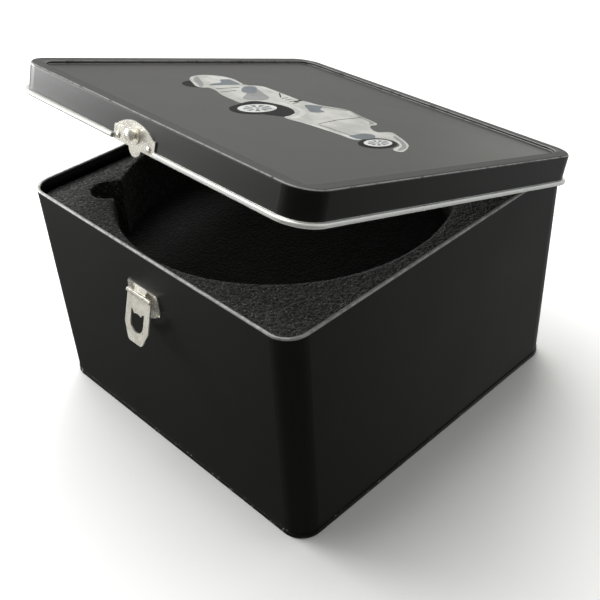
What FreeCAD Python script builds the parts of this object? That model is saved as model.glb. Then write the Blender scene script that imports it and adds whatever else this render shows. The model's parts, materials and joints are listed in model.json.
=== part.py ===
"""A hinged-lid tinplate presentation box with a hasp latch and a die-cut foam insert.

Millimetres. +Z is up, the latch is on the front (-Y) and the hinge on the back (+Y).
The origin is the middle of the face that the box stands on. The lid stands ajar.
"""
import FreeCAD, Part
import math
import os

import Sketcher
from FreeCAD import Placement, Rotation, Vector

doc = FreeCAD.newDocument("hinged_tin")

# ---------------------------------------------------------------- driving sizes
SIZES = [
    ("box_width", 200.0, "outer width of the base, along X"),
    ("box_depth", 205.0, "outer depth of the base, along Y"),
    ("box_height", 126.0, "height of the base's rim above the table"),
    ("box_corner", 12.0, "outer radius of the base's upright corners"),
    ("sheet", 0.35, "thickness of the tinplate"),
    ("rim_curl", 0.9, "outer radius of the base's inward rim curl"),
    ("seam_rise", 2.6, "height of the bottom seam"),
    ("seam_proud", 0.45, "how far the seam stands out from the wall, each side"),
    ("seam_foot", 0.4, "metal under the wall's lower edge in the seam"),
    ("floor_lift", 0.8, "gap between the table and the bottom panel"),
    ("lock_width", 5.0, "width of the upright lock seam on the back"),
    ("lock_proud", 0.3, "how far the lock seam stands out"),
    ("lid_overhang", 1.4, "lid's outer face beyond the base's outer face"),
    ("lid_gap", 2.65, "gap between the closed lid's underside and the rim"),
    ("lid_skirt", 14.6, "top of the lid's border down to the middle of its curl"),
    ("lid_curl", 1.2, "outer radius of the lid's outward curl"),
    ("lid_edge", 1.4, "radius where the lid's top turns into its skirt"),
    ("panel_border", 7.0, "flat border round the lid's sunken panel"),
    ("panel_sink", 1.6, "depth of the sunken panel"),
    ("panel_corner", 8.0, "corner radius of the sunken panel"),
    ("panel_edge", 0.9, "rounding at the top of the panel's step"),
    ("panel_foot", 0.6, "rounding at the foot of the panel's step"),
    ("lid_angle", 18.0, "how far the lid stands open, in degrees"),
    ("foam_drop", 7.5, "foam's top below the rim"),
    ("foam_gap", 0.5, "foam to wall"),
    ("foam_layer", 35.0, "thickness of the die-cut top layer"),
    ("recess_radius", 91.0, "radius of the round recess"),
    ("recess_x", -6.6, "middle of the recess, along X"),
    ("recess_y", -3.0, "middle of the recess, along Y"),
    ("notch_radius", 8.9, "radius of the finger notch"),
    ("notch_reach", 96.5, "middle of the recess to the middle of the notch"),
    ("notch_angle", 224.0, "direction of the notch, in degrees from +X"),
    ("wire_radius", 0.75, "hinge wire"),
    ("wire_length", 150.0, "hinge wire"),
    ("strap_width", 14.0, "hinge strap, along X"),
    ("strap_thick", 0.5, "hinge strap"),
    ("strap_loop", 1.28, "outer radius of the strap's loop round the wire"),
    ("strap_bore", 0.8, "inner radius of the strap's loop"),
    ("strap_spread", 60.0, "middle of the box to the middle of each strap"),
    ("strap_drop", 20.0, "hinge axis down to the strap's lower end"),
    ("strap_rivet_rise", 5.0, "strap's lower end up to its rivets"),
    ("strap_rivet_half", 4.0, "middle of the strap to each rivet"),
    ("latch_x", -3.5, "middle of the latch, along X"),
    ("plate_thick", 0.6, "both latch plates"),
    ("catch_width", 29.8, "upper plate, ear to ear"),
    ("catch_drop", 1.3, "upper plate's lower edge below the curl's middle"),
    ("catch_ear", 7.3, "height of the upper plate's ears"),
    ("catch_rise", 12.0, "height of the upper plate at its crown"),
    ("ear_step", 1.7, "ear's end out to where the crown's arc begins"),
    ("ear_round", 1.2, "corner radius of the ears"),
    ("boss_radius", 4.25, "round boss under the stud"),
    ("boss_rise", 0.5, "round boss under the stud"),
    ("stud_rise", 6.0, "upper plate's lower edge up to the stud"),
    ("stud_head", 2.7, "radius of the stud's head"),
    ("stud_neck", 1.8, "radius of the stud's neck"),
    ("stud_shank", 1.0, "radius of the stud's riveted shank"),
    ("stud_throat", 1.4, "length of the neck"),
    ("stud_cap", 1.5, "height of the head's side"),
    ("stud_crown", 0.45, "height of the head's dome"),
    ("tongue_half", 4.35, "half the width of the backing tongue"),
    ("tongue_drop", 5.6, "tongue's lowest point below the curl's middle"),
    ("tongue_rise", 8.5, "tongue's top above the curl's middle"),
    ("keeper_width", 23.7, "lower plate, ear to ear"),
    ("keeper_top", 105.7, "lower plate's top edge above the table"),
    ("keeper_ear", 12.7, "height of the lower plate's ears"),
    ("keeper_rise", 17.2, "height of the lower plate at its crown"),
    ("link_pivot_z", 102.0, "link's hinge axis above the table"),
    ("link_pivot_out", 2.8, "link's hinge axis out from the wall"),
    ("link_angle", 16.0, "how far the link hangs out from the wall, in degrees"),
    ("knuckle_radius", 1.2, "outer radius of the link's and plate's knuckles"),
    ("knuckle_bore", 0.66, "inner radius of the knuckles"),
    ("knuckle_half", 4.5, "half the length of the plate's knuckle"),
    ("knuckle_play", 0.3, "end play between knuckles"),
    ("pin_radius", 0.6, "link pin"),
    ("link_half", 9.2, "half the width of the link at its pivot"),
    ("link_waist", 9.4, "half the width of the link at its widest"),
    ("link_tip_half", 5.4, "half the width of the link at its tip"),
    ("link_length", 26.3, "pivot to the link's tip"),
    ("link_shoulder", 17.5, "pivot to where the link starts to taper"),
    ("link_thick", 0.8, "link"),
    ("loop_radius", 5.2, "round end of the link's opening"),
    ("loop_reach", 15.2, "pivot to the middle of the opening's round end"),
    ("loop_top", 8.8, "pivot to the top of the opening"),
    ("tooth_reach", 13.8, "pivot to the tip of the pointed tooth"),
    ("tooth_half", 4.2, "half the width of the tooth at its root"),
    ("rivet_shank", 0.8, "radius of the small rivets' shanks"),
    ("rivet_head", 1.6, "radius of the small rivets' heads"),
    ("rivet_crown", 0.5, "height of the small rivets' heads"),
    ("rivet_foot", 1.2, "radius of the small rivets' set ends"),
    ("rivet_set", 0.25, "thickness of the small rivets' set ends"),
    ("catch_rivet_half", 11.3, "middle of the latch to the upper rivets"),
    ("catch_rivet_rise", 2.6, "upper plate's lower edge up to its rivets"),
    ("keeper_rivet_half", 9.0, "middle of the latch to the lower rivets"),
    ("keeper_rivet_drop", 8.2, "lower plate's top edge down to its rivets"),
]


class Size:
    """A number that also carries the spreadsheet formula it comes from."""

    def __init__(self, value, formula=None):
        self.value = float(value)
        self.formula = formula or repr(float(value))

    def join(self, other, sign, value, swap=False):
        first, second = (other.formula, self.formula) if swap else (self.formula, other.formula)
        return Size(value, f"({first} {sign} {second})")

    def __add__(self, other):
        other = size(other)
        return self.join(other, "+", self.value + other.value)

    def __sub__(self, other):
        other = size(other)
        return self.join(other, "-", self.value - other.value)

    def __rsub__(self, other):
        other = size(other)
        return self.join(other, "-", other.value - self.value, swap=True)

    def __mul__(self, other):
        other = size(other)
        return self.join(other, "*", self.value * other.value)

    def __truediv__(self, other):
        other = size(other)
        return self.join(other, "/", self.value / other.value)

    def __neg__(self):
        return Size(-self.value, f"(0 - {self.formula})")

    __radd__ = __add__
    __rmul__ = __mul__


def size(number):
    return number if isinstance(number, Size) else Size(number)


sheet_object = doc.addObject("Spreadsheet::Sheet", "dims")
for row, (alias, value, note) in enumerate(SIZES, start=1):
    sheet_object.set(f"A{row}", note)
    sheet_object.set(f"B{row}", str(value))
    sheet_object.setAlias(f"B{row}", alias)
doc.recompute()

d = {alias: Size(value, f"dims.{alias}") for alias, value, _ in SIZES}

# places worked out from the driving sizes, with the lid shut
BACK = d["box_depth"] / 2
LID_TOP = d["box_height"] + d["lid_gap"] + d["sheet"]
HINGE_Z = LID_TOP - d["lid_skirt"]
CURL_BORE = d["lid_curl"] - d["sheet"]
HINGE_OUT = d["lid_overhang"] + CURL_BORE
HINGE_Y = BACK + HINGE_OUT
LID_WIDTH = d["box_width"] + 2 * d["lid_overhang"]
LID_DEPTH = d["box_depth"] + 2 * d["lid_overhang"]
LID_CORNER = d["box_corner"] + d["lid_overhang"]
LID_FRONT = BACK + d["lid_overhang"]
CATCH_FOOT = HINGE_Z - d["catch_drop"]
STUD_Z = CATCH_FOOT + d["stud_rise"]
FOAM_TOP = d["box_height"] - d["foam_drop"]
FOAM_SPLIT = FOAM_TOP - d["foam_layer"]
FLOOR_TOP = d["floor_lift"] + d["sheet"]


# ---------------------------------------------------------------- helpers
def new_body(label):
    body = doc.addObject("PartDesign::Body", label)
    body.Label = label
    return body


def new_sketch(body, name, role, offset=0.0):
    """A sketch on one of its own body's origin planes, moved along the plane's normal."""
    offset = size(offset)
    sketch = body.newObject("Sketcher::SketchObject", f"{body.Label}_{name}")
    plane = next(f for f in body.Origin.OriginFeatures if f.Role == role)
    sketch.AttachmentSupport = [(plane, "")]
    sketch.MapMode = "FlatFace"
    sketch.AttachmentOffset = Placement(Vector(0, 0, offset.value), Rotation())
    sketch.setExpression("AttachmentOffset.Base.z", offset.formula)
    return sketch


def fix(sketch, kind, where, value):
    """Adds a constraint with a size, bound to the size's formula."""
    value = size(value)
    index = sketch.addConstraint(Sketcher.Constraint(kind, *where, value.value))
    sketch.setExpression(f"Constraints[{index}]", value.formula)


def fix_point(sketch, curve, end, x, y):
    fix(sketch, "DistanceX", (-1, 1, curve, end), x)
    fix(sketch, "DistanceY", (-1, 1, curve, end), y)


def line(sketch, x0, y0, x1, y1):
    return sketch.addGeometry(Part.LineSegment(Vector(x0, y0, 0), Vector(x1, y1, 0)))


def arc(sketch, x, y, radius, start, end):
    """An arc about (x, y), counter-clockwise between two angles in degrees."""
    whole = Part.Circle(Vector(x, y, 0), Vector(0, 0, 1), radius)
    return sketch.addGeometry(Part.ArcOfCircle(whole, math.radians(start), math.radians(end)))


def draw_circle(sketch, x, y, radius):
    x, y, radius = size(x), size(y), size(radius)
    ring = Part.Circle(Vector(x.value, y.value, 0), Vector(0, 0, 1), radius.value)
    curve = sketch.addGeometry(ring)
    fix_point(sketch, curve, 3, x, y)
    fix(sketch, "Radius", (curve,), radius)


def draw_rounded(sketch, width, depth, radius):
    """A rectangle with round corners, centred on the sketch's origin."""
    half_w, half_d, r = width.value / 2, depth.value / 2, radius.value
    in_w, in_d = half_w - r, half_d - r
    right_start = line(sketch, half_w, 0, half_w, in_d)
    corner_1 = arc(sketch, in_w, in_d, r, 0, 90)
    back = line(sketch, in_w, half_d, -in_w, half_d)
    corner_2 = arc(sketch, -in_w, in_d, r, 90, 180)
    left = line(sketch, -half_w, in_d, -half_w, -in_d)
    corner_3 = arc(sketch, -in_w, -in_d, r, 180, 270)
    front = line(sketch, -in_w, -half_d, in_w, -half_d)
    corner_4 = arc(sketch, in_w, -in_d, r, 270, 360)
    right_end = line(sketch, half_w, -in_d, half_w, 0)
    chain = [right_start, corner_1, back, corner_2, left, corner_3, front, corner_4, right_end]
    for first, second in zip(chain, chain[1:]):
        sketch.addConstraint(Sketcher.Constraint("Tangent", first, 2, second, 1))
    sketch.addConstraint(Sketcher.Constraint("Coincident", right_end, 2, right_start, 1))
    for upright in (right_start, left, right_end):
        sketch.addConstraint(Sketcher.Constraint("Vertical", upright))
    for level in (back, front):
        sketch.addConstraint(Sketcher.Constraint("Horizontal", level))
    for corner in (corner_2, corner_3, corner_4):
        sketch.addConstraint(Sketcher.Constraint("Equal", corner_1, corner))
    sketch.addConstraint(Sketcher.Constraint("PointOnObject", right_start, 1, -1))
    sketch.addConstraint(Sketcher.Constraint("Symmetric", corner_1, 3, corner_3, 3, -1, 1))
    fix(sketch, "DistanceX", (corner_3, 3, corner_1, 3), width - 2 * radius)
    fix(sketch, "DistanceY", (corner_3, 3, corner_1, 3), depth - 2 * radius)
    fix(sketch, "Radius", (corner_1,), radius)


def draw_outline(sketch, corners):
    """A closed outline, counter-clockwise. A corner is (x, y), or (x, y, radius) where an
    outward arc of that radius leads on to the next corner."""
    points = [(size(c[0]), size(c[1])) for c in corners]
    curves = []
    for index, corner in enumerate(corners):
        x0, y0 = (value.value for value in points[index])
        x1, y1 = (value.value for value in points[(index + 1) % len(points)])
        if len(corner) == 2:
            curves.append(line(sketch, x0, y0, x1, y1))
            continue
        radius = size(corner[2]).value
        chord = math.hypot(x1 - x0, y1 - y0)
        inward = math.sqrt(max(radius ** 2 - (chord / 2) ** 2, 0)) / chord
        mid_x = (x0 + x1) / 2 - (y1 - y0) * inward
        mid_y = (y0 + y1) / 2 + (x1 - x0) * inward
        start = math.degrees(math.atan2(y0 - mid_y, x0 - mid_x))
        end = math.degrees(math.atan2(y1 - mid_y, x1 - mid_x))
        end = end + 360 if end < start else end
        curves.append(arc(sketch, mid_x, mid_y, radius, start, end))
    for index, curve in enumerate(curves):
        following = curves[(index + 1) % len(curves)]
        sketch.addConstraint(Sketcher.Constraint("Coincident", curve, 2, following, 1))
    for curve, corner, point in zip(curves, corners, points):
        fix_point(sketch, curve, 1, *point)
        if len(corner) == 3:
            fix(sketch, "Radius", (curve,), corner[2])


def extrude(kind, body, sketch, length, name, backwards=False, midplane=False):
    length = size(length)
    feature = body.newObject(kind, f"{body.Label}_{name}")
    feature.Profile = sketch
    feature.Length = length.value
    feature.setExpression("Length", length.formula)
    feature.Reversed = backwards
    feature.Midplane = midplane
    before = body.Shape.Volume if kind == "PartDesign::Pocket" else 0.0
    doc.recompute()
    if kind == "PartDesign::Pocket" and feature.Shape.Volume > before - 1e-6:
        raise RuntimeError(f"{feature.Name} cuts nothing")
    return feature


def pad(body, sketch, length, name, backwards=False, midplane=False):
    return extrude("PartDesign::Pad", body, sketch, length, name, backwards, midplane)


def pocket(body, sketch, length, name, backwards=False, midplane=False):
    return extrude("PartDesign::Pocket", body, sketch, length, name, backwards, midplane)


def round_edges(body, radius, name, chosen):
    """Fillets the edges of the body's last feature for which chosen(edge) is true."""
    tip = body.Tip
    names = [f"Edge{i}" for i, edge in enumerate(tip.Shape.Edges, start=1) if chosen(edge)]
    if not names:
        raise RuntimeError(f"{body.Label} has no edge for {name}")
    fillet = body.newObject("PartDesign::Fillet", f"{body.Label}_{name}")
    fillet.Base = (tip, names)
    fillet.Radius = radius.value
    fillet.setExpression("Radius", radius.formula)
    doc.recompute()
    return fillet


def revolve(body, sketch, name):
    feature = body.newObject("PartDesign::Revolution", f"{body.Label}_{name}")
    feature.Profile = sketch
    feature.ReferenceAxis = (sketch, ["V_Axis"])
    feature.Angle = 360.0
    doc.recompute()
    return feature


def sweep_round(body, profile, path, name):
    feature = body.newObject("PartDesign::AdditivePipe", f"{body.Label}_{name}")
    feature.Profile = profile
    doc.recompute()
    edges = [f"Edge{i}" for i in range(1, len(path.Shape.Edges) + 1)]
    feature.Spine = (path, edges)
    doc.recompute()
    return feature


def near(first, second, slack=0.01):
    return abs(first - second) < slack


def is_upright(edge):
    box = edge.BoundBox
    return box.ZLength > 0.05 and box.XLength < 1e-4 and box.YLength < 1e-4


def is_level(edge, height):
    box = edge.BoundBox
    return near(box.ZMin, height) and near(box.ZMax, height)


def place(body, x, y, z, tilt=0.0):
    """Puts a body's origin at a point, tipped about X by tilt degrees."""
    base = Vector(size(x).value, size(y).value, size(z).value)
    body.Placement = Placement(base, Rotation(Vector(1, 0, 0), tilt))


def swing_with_lid(body):
    """Turns a body placed on the shut lid about the hinge, to where the lid stands."""
    axis = Vector(0, HINGE_Y.value, HINGE_Z.value)
    turn = Placement(Vector(), Rotation(Vector(1, 0, 0), -d["lid_angle"].value), axis)
    body.Placement = turn.multiply(body.Placement)


def drill(body, name, role, offset, holes, radius, depth, backwards=False):
    sketch = new_sketch(body, name, role, offset)
    for x, y in holes:
        draw_circle(sketch, x, y, radius)
    return pocket(body, sketch, depth, f"{name}_cut", backwards)


# ---------------------------------------------------------------- base
def rivet_marks(middle, half, height):
    return [(middle - half, height), (middle + half, height)]


STRAP_FOOT = HINGE_Z - d["strap_drop"]
STRAP_RIVET_Z = STRAP_FOOT + d["strap_rivet_rise"]
KEEPER_RIVET_Z = d["keeper_top"] - d["keeper_rivet_drop"]
CATCH_RIVET_Z = CATCH_FOOT + d["catch_rivet_rise"]
WALL_CUT = 3 * d["sheet"]


def curl_profile(sketch, x, z, radius, start, end):
    """The curled edge of a sheet: a C of the sheet's thickness about (x, z)."""
    outer, inner = radius.value, radius.value - d["sheet"].value
    outside = arc(sketch, x.value, z.value, outer, start, end)
    inside = arc(sketch, x.value, z.value, inner, start, end)
    ends = []
    for angle in (start, end):
        c, s = math.cos(math.radians(angle)), math.sin(math.radians(angle))
        ends.append(line(sketch, x.value + inner * c, z.value + inner * s,
                         x.value + outer * c, z.value + outer * s))
    sketch.addConstraint(Sketcher.Constraint("Coincident", inside, 3, outside, 3))
    for end_line, which in zip(ends, (1, 2)):
        sketch.addConstraint(Sketcher.Constraint("Coincident", end_line, 1, inside, which))
        sketch.addConstraint(Sketcher.Constraint("Coincident", end_line, 2, outside, which))
        sketch.addConstraint(Sketcher.Constraint("PointOnObject", outside, 3, end_line))
    fix_point(sketch, outside, 3, x, z)
    fix(sketch, "Radius", (outside,), radius)
    fix(sketch, "Radius", (inside,), radius - d["sheet"])
    for end_line, angle in zip(ends, (start, end)):
        fix(sketch, "Angle", (end_line,), Size(math.radians(angle), f"{angle} deg"))


def make_base_shell():
    """The rolled wall: its rim curls inwards and a lock seam runs up its back."""
    body = new_body("base_shell")
    wall = new_sketch(body, "wall", "XY_Plane", d["seam_foot"])
    draw_rounded(wall, d["box_width"], d["box_depth"], d["box_corner"])
    draw_rounded(wall, d["box_width"] - 2 * d["sheet"], d["box_depth"] - 2 * d["sheet"],
                 d["box_corner"] - d["sheet"])
    pad(body, wall, d["box_height"] - d["rim_curl"] - d["seam_foot"], "wall_pad")

    path = new_sketch(body, "rim_path", "XY_Plane", d["box_height"] - d["rim_curl"])
    draw_rounded(path, d["box_width"], d["box_depth"], d["box_corner"])
    profile = new_sketch(body, "rim_profile", "XZ_Plane")
    curl_profile(profile, d["box_width"] / 2 - d["rim_curl"], d["box_height"] - d["rim_curl"],
                 d["rim_curl"], 0, 290)
    sweep_round(body, profile, path, "rim")

    lock = new_sketch(body, "lock", "XZ_Plane", -BACK)
    half = d["lock_width"] / 2
    top = d["box_height"] - 2 * d["rim_curl"]
    draw_outline(lock, [(-half, d["seam_rise"]), (half, d["seam_rise"]), (half, top), (-half, top)])
    pad(body, lock, d["lock_proud"], "lock_pad", backwards=True)

    back = [mark for side in (-1, 1)
            for mark in rivet_marks(side * d["strap_spread"], d["strap_rivet_half"], STRAP_RIVET_Z)]
    drill(body, "strap_holes", "XZ_Plane", -BACK, back, d["rivet_shank"], WALL_CUT, True)
    front = rivet_marks(d["latch_x"], d["keeper_rivet_half"], KEEPER_RIVET_Z)
    drill(body, "keeper_holes", "XZ_Plane", BACK, front, d["rivet_shank"], WALL_CUT)
    return body


def make_bottom_panel():
    """The bottom, seamed on: a channel grips the wall's lower edge, the floor hangs inside."""
    body = new_body("bottom_panel")
    ring = new_sketch(body, "ring", "XY_Plane")
    out = d["seam_proud"]
    inner = d["sheet"] + d["seam_proud"]
    draw_rounded(ring, d["box_width"] + 2 * out, d["box_depth"] + 2 * out, d["box_corner"] + out)
    draw_rounded(ring, d["box_width"] - 2 * inner, d["box_depth"] - 2 * inner,
                 d["box_corner"] - inner)
    pad(body, ring, d["seam_rise"], "ring_pad")
    channel = new_sketch(body, "channel", "XY_Plane", d["seam_rise"])
    draw_rounded(channel, d["box_width"], d["box_depth"], d["box_corner"])
    draw_rounded(channel, d["box_width"] - 2 * d["sheet"], d["box_depth"] - 2 * d["sheet"],
                 d["box_corner"] - d["sheet"])
    pocket(body, channel, d["seam_rise"] - d["seam_foot"], "channel_cut")
    floor = new_sketch(body, "floor", "XY_Plane", d["floor_lift"])
    draw_rounded(floor, d["box_width"] - 2 * d["sheet"] - out, d["box_depth"] - 2 * d["sheet"] - out,
                 d["box_corner"] - inner)
    pad(body, floor, d["sheet"], "floor_pad")
    reach = d["box_width"].value / 2
    round_edges(body, out * 0.6, "lip", lambda e: is_level(e, 0) and e.BoundBox.XMax > reach)
    return body


def foam_sketch(body, name, height):
    sketch = new_sketch(body, name, "XY_Plane", height)
    inset = d["sheet"] + d["foam_gap"]
    draw_rounded(sketch, d["box_width"] - 2 * inset, d["box_depth"] - 2 * inset,
                 d["box_corner"] - inset)
    return sketch


def make_foam():
    """Two glued layers: a plain block below, and above it a layer cut right through."""
    block = new_body("foam_block")
    pad(block, foam_sketch(block, "block", FLOOR_TOP), FOAM_SPLIT - FLOOR_TOP, "block_pad")

    layer = new_body("foam_cutout")
    pad(layer, foam_sketch(layer, "layer", FOAM_SPLIT), d["foam_layer"], "layer_pad")
    recess = new_sketch(layer, "recess", "XY_Plane", FOAM_TOP)
    draw_circle(recess, d["recess_x"], d["recess_y"], d["recess_radius"])
    pocket(layer, recess, d["foam_layer"], "recess_cut")
    notch = new_sketch(layer, "notch", "XY_Plane", FOAM_TOP)
    angle = math.radians(d["notch_angle"].value)
    out_x = Size(math.cos(angle), "cos(dims.notch_angle * 1deg)")
    out_y = Size(math.sin(angle), "sin(dims.notch_angle * 1deg)")
    corners = []
    for reach, side in ((-20, -1), (0, -1), (d["notch_radius"], 0), (0, 1), (-20, 1)):
        away = d["notch_reach"] + reach
        aside = side * d["notch_radius"]
        corners.append((d["recess_x"] + away * out_x - aside * out_y,
                        d["recess_y"] + away * out_y + aside * out_x))
    for index in (1, 2):
        corners[index] += (d["notch_radius"],)
    draw_outline(notch, corners)
    pocket(layer, notch, d["foam_layer"], "notch_cut")


# ---------------------------------------------------------------- hinge
def make_strap(label, side):
    """A strap riveted to the back wall, with a joggle and a loop round the hinge wire."""
    body = new_body(label)
    thick, joggle = d["strap_thick"], HINGE_OUT - d["strap_loop"]
    bend_low, bend_high = d["strap_drop"] - 4.5, d["strap_drop"] - 3.0
    stem = new_sketch(body, "stem", "YZ_Plane")
    draw_outline(stem, [(0, 0), (thick, 0), (thick, bend_low), (joggle + thick, bend_high),
                        (joggle + thick, d["strap_drop"]), (joggle, d["strap_drop"]),
                        (joggle, bend_high), (0, bend_low)])
    pad(body, stem, d["strap_width"], "stem_pad", midplane=True)
    loop = new_sketch(body, "loop", "YZ_Plane")
    draw_circle(loop, HINGE_OUT, d["strap_drop"], d["strap_loop"])
    pad(body, loop, d["strap_width"], "loop_pad", midplane=True)
    bore = new_sketch(body, "bore", "YZ_Plane")
    draw_circle(bore, HINGE_OUT, d["strap_drop"], d["strap_bore"])
    pocket(body, bore, d["strap_width"] + 1.0, "bore_cut", midplane=True)
    marks = rivet_marks(size(0), d["strap_rivet_half"], d["strap_rivet_rise"])
    drill(body, "holes", "XZ_Plane", -thick, marks, d["rivet_shank"], thick + 0.2, True)
    corner = d["strap_width"].value / 2
    round_edges(body, size(1.5), "corners",
                lambda e: near(abs(e.BoundBox.XMin), corner) and near(e.BoundBox.XLength, 0)
                and near(e.BoundBox.ZMax, 0) and near(e.BoundBox.ZMin, 0))
    place(body, side * d["strap_spread"], BACK, STRAP_FOOT)


def make_rod(label, radius, length):
    """A round wire along X with eased ends."""
    body = new_body(label)
    section = new_sketch(body, "section", "YZ_Plane")
    draw_circle(section, 0, 0, radius)
    pad(body, section, length, "rod", midplane=True)
    round_edges(body, radius * 0.4, "ends", lambda e: near(e.BoundBox.XLength, 0))
    return body


# ---------------------------------------------------------------- rivets and stud
def make_rivet(label, grip):
    """A rivet along Y: a domed head towards -Y, and an end set flat against the sheet."""
    body = new_body(label)
    head, crown = d["rivet_head"], d["rivet_crown"]
    dome = (head * head + crown * crown) / (2 * crown)
    section = new_sketch(body, "section", "XY_Plane")
    draw_outline(section, [(0, -crown, dome), (head, 0), (d["rivet_shank"], 0),
                           (d["rivet_shank"], grip), (d["rivet_foot"], grip),
                           (d["rivet_foot"], grip + d["rivet_set"]), (0, grip + d["rivet_set"])])
    revolve(body, section, "turned")
    return body


def make_stud():
    """The latch stud: a domed head on a neck, riveted through plate, skirt and tongue."""
    body = new_body("latch_stud")
    head, crown = d["stud_head"], d["stud_crown"]
    dome = (head * head + crown * crown) / (2 * crown)
    top = d["stud_throat"] + d["stud_cap"]
    grip = d["boss_rise"] + d["plate_thick"] + 2 * d["sheet"]
    section = new_sketch(body, "section", "XY_Plane")
    draw_outline(section, [(0, -(top + crown), dome), (head, -top), (head, -d["stud_throat"]),
                           (d["stud_neck"], -d["stud_throat"]), (d["stud_neck"], 0),
                           (d["stud_shank"], 0), (d["stud_shank"], grip), (0, grip)])
    revolve(body, section, "turned")
    place(body, d["latch_x"], -(LID_FRONT + d["plate_thick"] + d["boss_rise"]), STUD_Z)
    swing_with_lid(body)


# ---------------------------------------------------------------- lid
def make_lid_shell():
    """The drawn lid: sunken panel, flat border, skirt and an outward curl at its edge."""
    body = new_body("lid_shell")
    block = new_sketch(body, "block", "XY_Plane", HINGE_Z)
    draw_rounded(block, LID_WIDTH, LID_DEPTH, LID_CORNER)
    pad(body, block, d["lid_skirt"], "block_pad")
    panel = new_sketch(body, "panel", "XY_Plane", LID_TOP)
    draw_rounded(panel, LID_WIDTH - 2 * d["panel_border"], LID_DEPTH - 2 * d["panel_border"],
                 d["panel_corner"])
    pocket(body, panel, d["panel_sink"], "panel_pocket")
    floor = (LID_TOP - d["panel_sink"]).value
    border = LID_TOP.value
    inset = -d["panel_border"].value

    def reach(edge):
        box = edge.BoundBox
        across = max(abs(box.XMin), abs(box.XMax)) - LID_WIDTH.value / 2
        along = max(abs(box.YMin), abs(box.YMax)) - LID_DEPTH.value / 2
        return max(across, along)

    round_edges(body, d["panel_edge"], "panel_top",
                lambda e: is_level(e, border) and near(reach(e), inset))
    round_edges(body, d["panel_foot"], "panel_base", lambda e: is_level(e, floor))
    round_edges(body, d["lid_edge"], "shoulder", lambda e: is_level(e, border) and near(reach(e), 0))
    tip = body.Tip
    under = [f"Face{i}" for i, face in enumerate(tip.Shape.Faces, start=1)
             if near(face.BoundBox.ZMax, HINGE_Z.value)]
    shell = body.newObject("PartDesign::Thickness", "lid_shell_hollow")
    shell.Base = (tip, under)
    shell.Value = d["sheet"].value
    shell.setExpression("Value", d["sheet"].formula)
    shell.Reversed = True
    shell.Join = 0
    doc.recompute()

    path = new_sketch(body, "curl_path", "XY_Plane", HINGE_Z)
    draw_rounded(path, LID_WIDTH, LID_DEPTH, LID_CORNER)
    profile = new_sketch(body, "curl_profile", "XZ_Plane")
    curl_profile(profile, LID_WIDTH / 2 + CURL_BORE, HINGE_Z, d["lid_curl"], 180, 490)
    sweep_round(body, profile, path, "curl")

    # the curl stops either side of the latch plate, and the skirt too at the hinge straps
    depth = d["lid_curl"] * 3
    half = d["catch_width"] / 2 + 0.4
    low, high = HINGE_Z - d["lid_curl"] - 0.2, HINGE_Z + d["lid_curl"] + 0.2
    gap = new_sketch(body, "latch_gap", "XZ_Plane", LID_FRONT)
    draw_outline(gap, [(d["latch_x"] - half, low), (d["latch_x"] + half, low),
                       (d["latch_x"] + half, high), (d["latch_x"] - half, high)])
    pocket(body, gap, depth, "latch_gap_cut", backwards=True)
    slots = new_sketch(body, "hinge_slots", "XZ_Plane", -LID_FRONT + 2 * d["sheet"])
    half = d["strap_width"] / 2 + 0.5
    high = HINGE_Z + d["strap_loop"] + 0.5
    for side in (-1, 1):
        middle = side * d["strap_spread"]
        draw_outline(slots, [(middle - half, low), (middle + half, low),
                             (middle + half, high), (middle - half, high)])
    pocket(body, slots, depth + 2 * d["sheet"], "hinge_slots_cut")

    rivets = rivet_marks(d["latch_x"], d["catch_rivet_half"], CATCH_RIVET_Z)
    drill(body, "rivet_holes", "XZ_Plane", LID_FRONT, rivets, d["rivet_shank"], WALL_CUT)
    drill(body, "stud_hole", "XZ_Plane", LID_FRONT, [(d["latch_x"], STUD_Z)], d["stud_shank"], WALL_CUT)
    swing_with_lid(body)


# ---------------------------------------------------------------- latch
def plate_corners(width, ear, rise, upside):
    """A half-round plate with two ears. Upside is 1 with the crown on top, -1 below."""
    half = width / 2
    start = half - d["ear_step"]
    sag = rise - ear
    crown = (start * start + sag * sag) / (2 * sag)
    corners = [(-half, 0), (half, 0), (half, ear), (start, ear, crown), (-start, ear), (-half, ear)]
    if upside > 0:
        return corners
    return [(-half, -ear), (-start, -ear, crown), (start, -ear), (half, -ear), (half, 0), (-half, 0)]


def make_catch_plate():
    """The upper plate, on the lid's skirt, with a round boss under the stud."""
    body = new_body("latch_plate_upper")
    face = new_sketch(body, "face", "XZ_Plane")
    draw_outline(face, plate_corners(d["catch_width"], d["catch_ear"], d["catch_rise"], 1))
    pad(body, face, d["plate_thick"], "face_pad")
    boss = new_sketch(body, "boss", "XZ_Plane", d["plate_thick"])
    draw_circle(boss, 0, d["stud_rise"], d["boss_radius"])
    pad(body, boss, d["boss_rise"], "boss_pad")
    through = d["plate_thick"] + d["boss_rise"]
    drill(body, "stud_hole", "XZ_Plane", through, [(0, d["stud_rise"])], d["stud_shank"],
          through + 0.2, False)
    marks = rivet_marks(size(0), d["catch_rivet_half"], d["catch_rivet_rise"])
    drill(body, "rivet_holes", "XZ_Plane", through, marks, d["rivet_shank"], through + 0.2, False)
    half = d["catch_width"].value / 2
    round_edges(body, d["ear_round"], "ears",
                lambda e: near(e.BoundBox.YLength, d["plate_thick"].value)
                and near(abs(e.BoundBox.XMin), half) and near(e.BoundBox.XLength, 0)
                and near(e.BoundBox.ZLength, 0))
    place(body, d["latch_x"], -LID_FRONT, CATCH_FOOT)
    swing_with_lid(body)


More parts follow.
